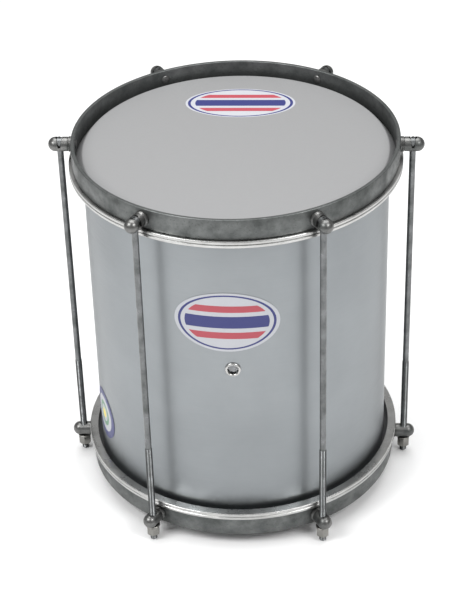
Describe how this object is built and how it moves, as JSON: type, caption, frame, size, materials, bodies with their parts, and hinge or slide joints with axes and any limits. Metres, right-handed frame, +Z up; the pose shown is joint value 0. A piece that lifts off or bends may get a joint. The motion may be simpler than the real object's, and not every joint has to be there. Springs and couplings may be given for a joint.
{
  "type": "repinique drum",
  "caption": "Cylindrical metal drum with a film head at each end, drawn together by long hooked tension rods, lugs on flat hoops, washers and tuning nuts.",
  "frame": {"origin": "on the drum's axis, at the level of the six rod tips that it stands on", "axes": "+Z up along the drum's axis; rods 1 and 4 lie on the X axis; the vent and the badge face -Y"},
  "size_m": [0.3102, 0.276, 0.3262],
  "materials": {
    "satin_aluminium": "satin, brushed round the drum",
    "bright_aluminium": "bright drawn",
    "dull_steel": "dull grey plating, mottled",
    "rod_steel": "grey plating, thread rolled on the lower end",
    "bright_zinc": "bright zinc",
    "milky_film": "milky, slightly translucent film",
    "white_label": "printed label"
  },
  "bodies": {
    "drum": {"shell": "satin_aluminium", "vent_eyelet": "bright_aluminium", "top_head": "milky_film", "top_flesh_hoop": "bright_aluminium", "top_counterhoop": "dull_steel", "bottom_head": "milky_film", "bottom_flesh_hoop": "bright_aluminium", "bottom_counterhoop": "dull_steel", "top_lug_1": "dull_steel", "top_lug_2": "dull_steel", "top_lug_3": "dull_steel", "top_lug_4": "dull_steel", "top_lug_5": "dull_steel", "top_lug_6": "dull_steel", "bottom_lug_1": "dull_steel", "bottom_lug_2": "dull_steel", "bottom_lug_3": "dull_steel", "bottom_lug_4": "dull_steel", "bottom_lug_5": "dull_steel", "bottom_lug_6": "dull_steel", "tension_rod_1": "rod_steel", "tension_rod_2": "rod_steel", "tension_rod_3": "rod_steel", "tension_rod_4": "rod_steel", "tension_rod_5": "rod_steel", "tension_rod_6": "rod_steel", "front_badge": "white_label", "side_seal": "white_label"},
    "washer_1_body": {"washer_1": "bright_zinc"},
    "nut_1_body": {"tension_nut_1": "bright_zinc"},
    "washer_2_body": {"washer_2": "bright_zinc"},
    "nut_2_body": {"tension_nut_2": "bright_zinc"},
    "washer_3_body": {"washer_3": "bright_zinc"},
    "nut_3_body": {"tension_nut_3": "bright_zinc"},
    "washer_4_body": {"washer_4": "bright_zinc"},
    "nut_4_body": {"tension_nut_4": "bright_zinc"},
    "washer_5_body": {"washer_5": "bright_zinc"},
    "nut_5_body": {"tension_nut_5": "bright_zinc"},
    "washer_6_body": {"washer_6": "bright_zinc"},
    "nut_6_body": {"tension_nut_6": "bright_zinc"}
  },
  "joints": [
    {"name": "nut_1_travel", "type": "slide", "parent": "drum", "child": "washer_1_body", "axis": [0, 0, -1], "range_m": [0, 0.005]},
    {"name": "nut_1_turn", "type": "hinge", "parent": "washer_1_body", "child": "nut_1_body", "pos_m": [0.1454, 0, 0], "axis": [0, 0, -1], "range_deg": [0, 1800]},
    {"name": "nut_2_travel", "type": "slide", "parent": "drum", "child": "washer_2_body", "axis": [0, 0, -1], "range_m": [0, 0.005]},
    {"name": "nut_2_turn", "type": "hinge", "parent": "washer_2_body", "child": "nut_2_body", "pos_m": [0.0727, 0.12592, 0], "axis": [0, 0, -1], "range_deg": [0, 1800]},
    {"name": "nut_3_travel", "type": "slide", "parent": "drum", "child": "washer_3_body", "axis": [0, 0, -1], "range_m": [0, 0.005]},
    {"name": "nut_3_turn", "type": "hinge", "parent": "washer_3_body", "child": "nut_3_body", "pos_m": [-0.0727, 0.12592, 0], "axis": [0, 0, -1], "range_deg": [0, 1800]},
    {"name": "nut_4_travel", "type": "slide", "parent": "drum", "child": "washer_4_body", "axis": [0, 0, -1], "range_m": [0, 0.005]},
    {"name": "nut_4_turn", "type": "hinge", "parent": "washer_4_body", "child": "nut_4_body", "pos_m": [-0.1454, 0, 0], "axis": [0, 0, -1], "range_deg": [0, 1800]},
    {"name": "nut_5_travel", "type": "slide", "parent": "drum", "child": "washer_5_body", "axis": [0, 0, -1], "range_m": [0, 0.005]},
    {"name": "nut_5_turn", "type": "hinge", "parent": "washer_5_body", "child": "nut_5_body", "pos_m": [-0.0727, -0.12592, 0], "axis": [0, 0, -1], "range_deg": [0, 1800]},
    {"name": "nut_6_travel", "type": "slide", "parent": "drum", "child": "washer_6_body", "axis": [0, 0, -1], "range_m": [0, 0.005]},
    {"name": "nut_6_turn", "type": "hinge", "parent": "washer_6_body", "child": "nut_6_body", "pos_m": [0.0727, -0.12592, 0], "axis": [0, 0, -1], "range_deg": [0, 1800]}
  ],
  "couplings": [
    {"joint": "nut_1_turn", "follows": "nut_1_travel", "rad_per_m": 6283.2},
    {"joint": "nut_2_turn", "follows": "nut_2_travel", "rad_per_m": 6283.2},
    {"joint": "nut_3_turn", "follows": "nut_3_travel", "rad_per_m": 6283.2},
    {"joint": "nut_4_turn", "follows": "nut_4_travel", "rad_per_m": 6283.2},
    {"joint": "nut_5_turn", "follows": "nut_5_travel", "rad_per_m": 6283.2},
    {"joint": "nut_6_turn", "follows": "nut_6_travel", "rad_per_m": 6283.2}
  ]
}
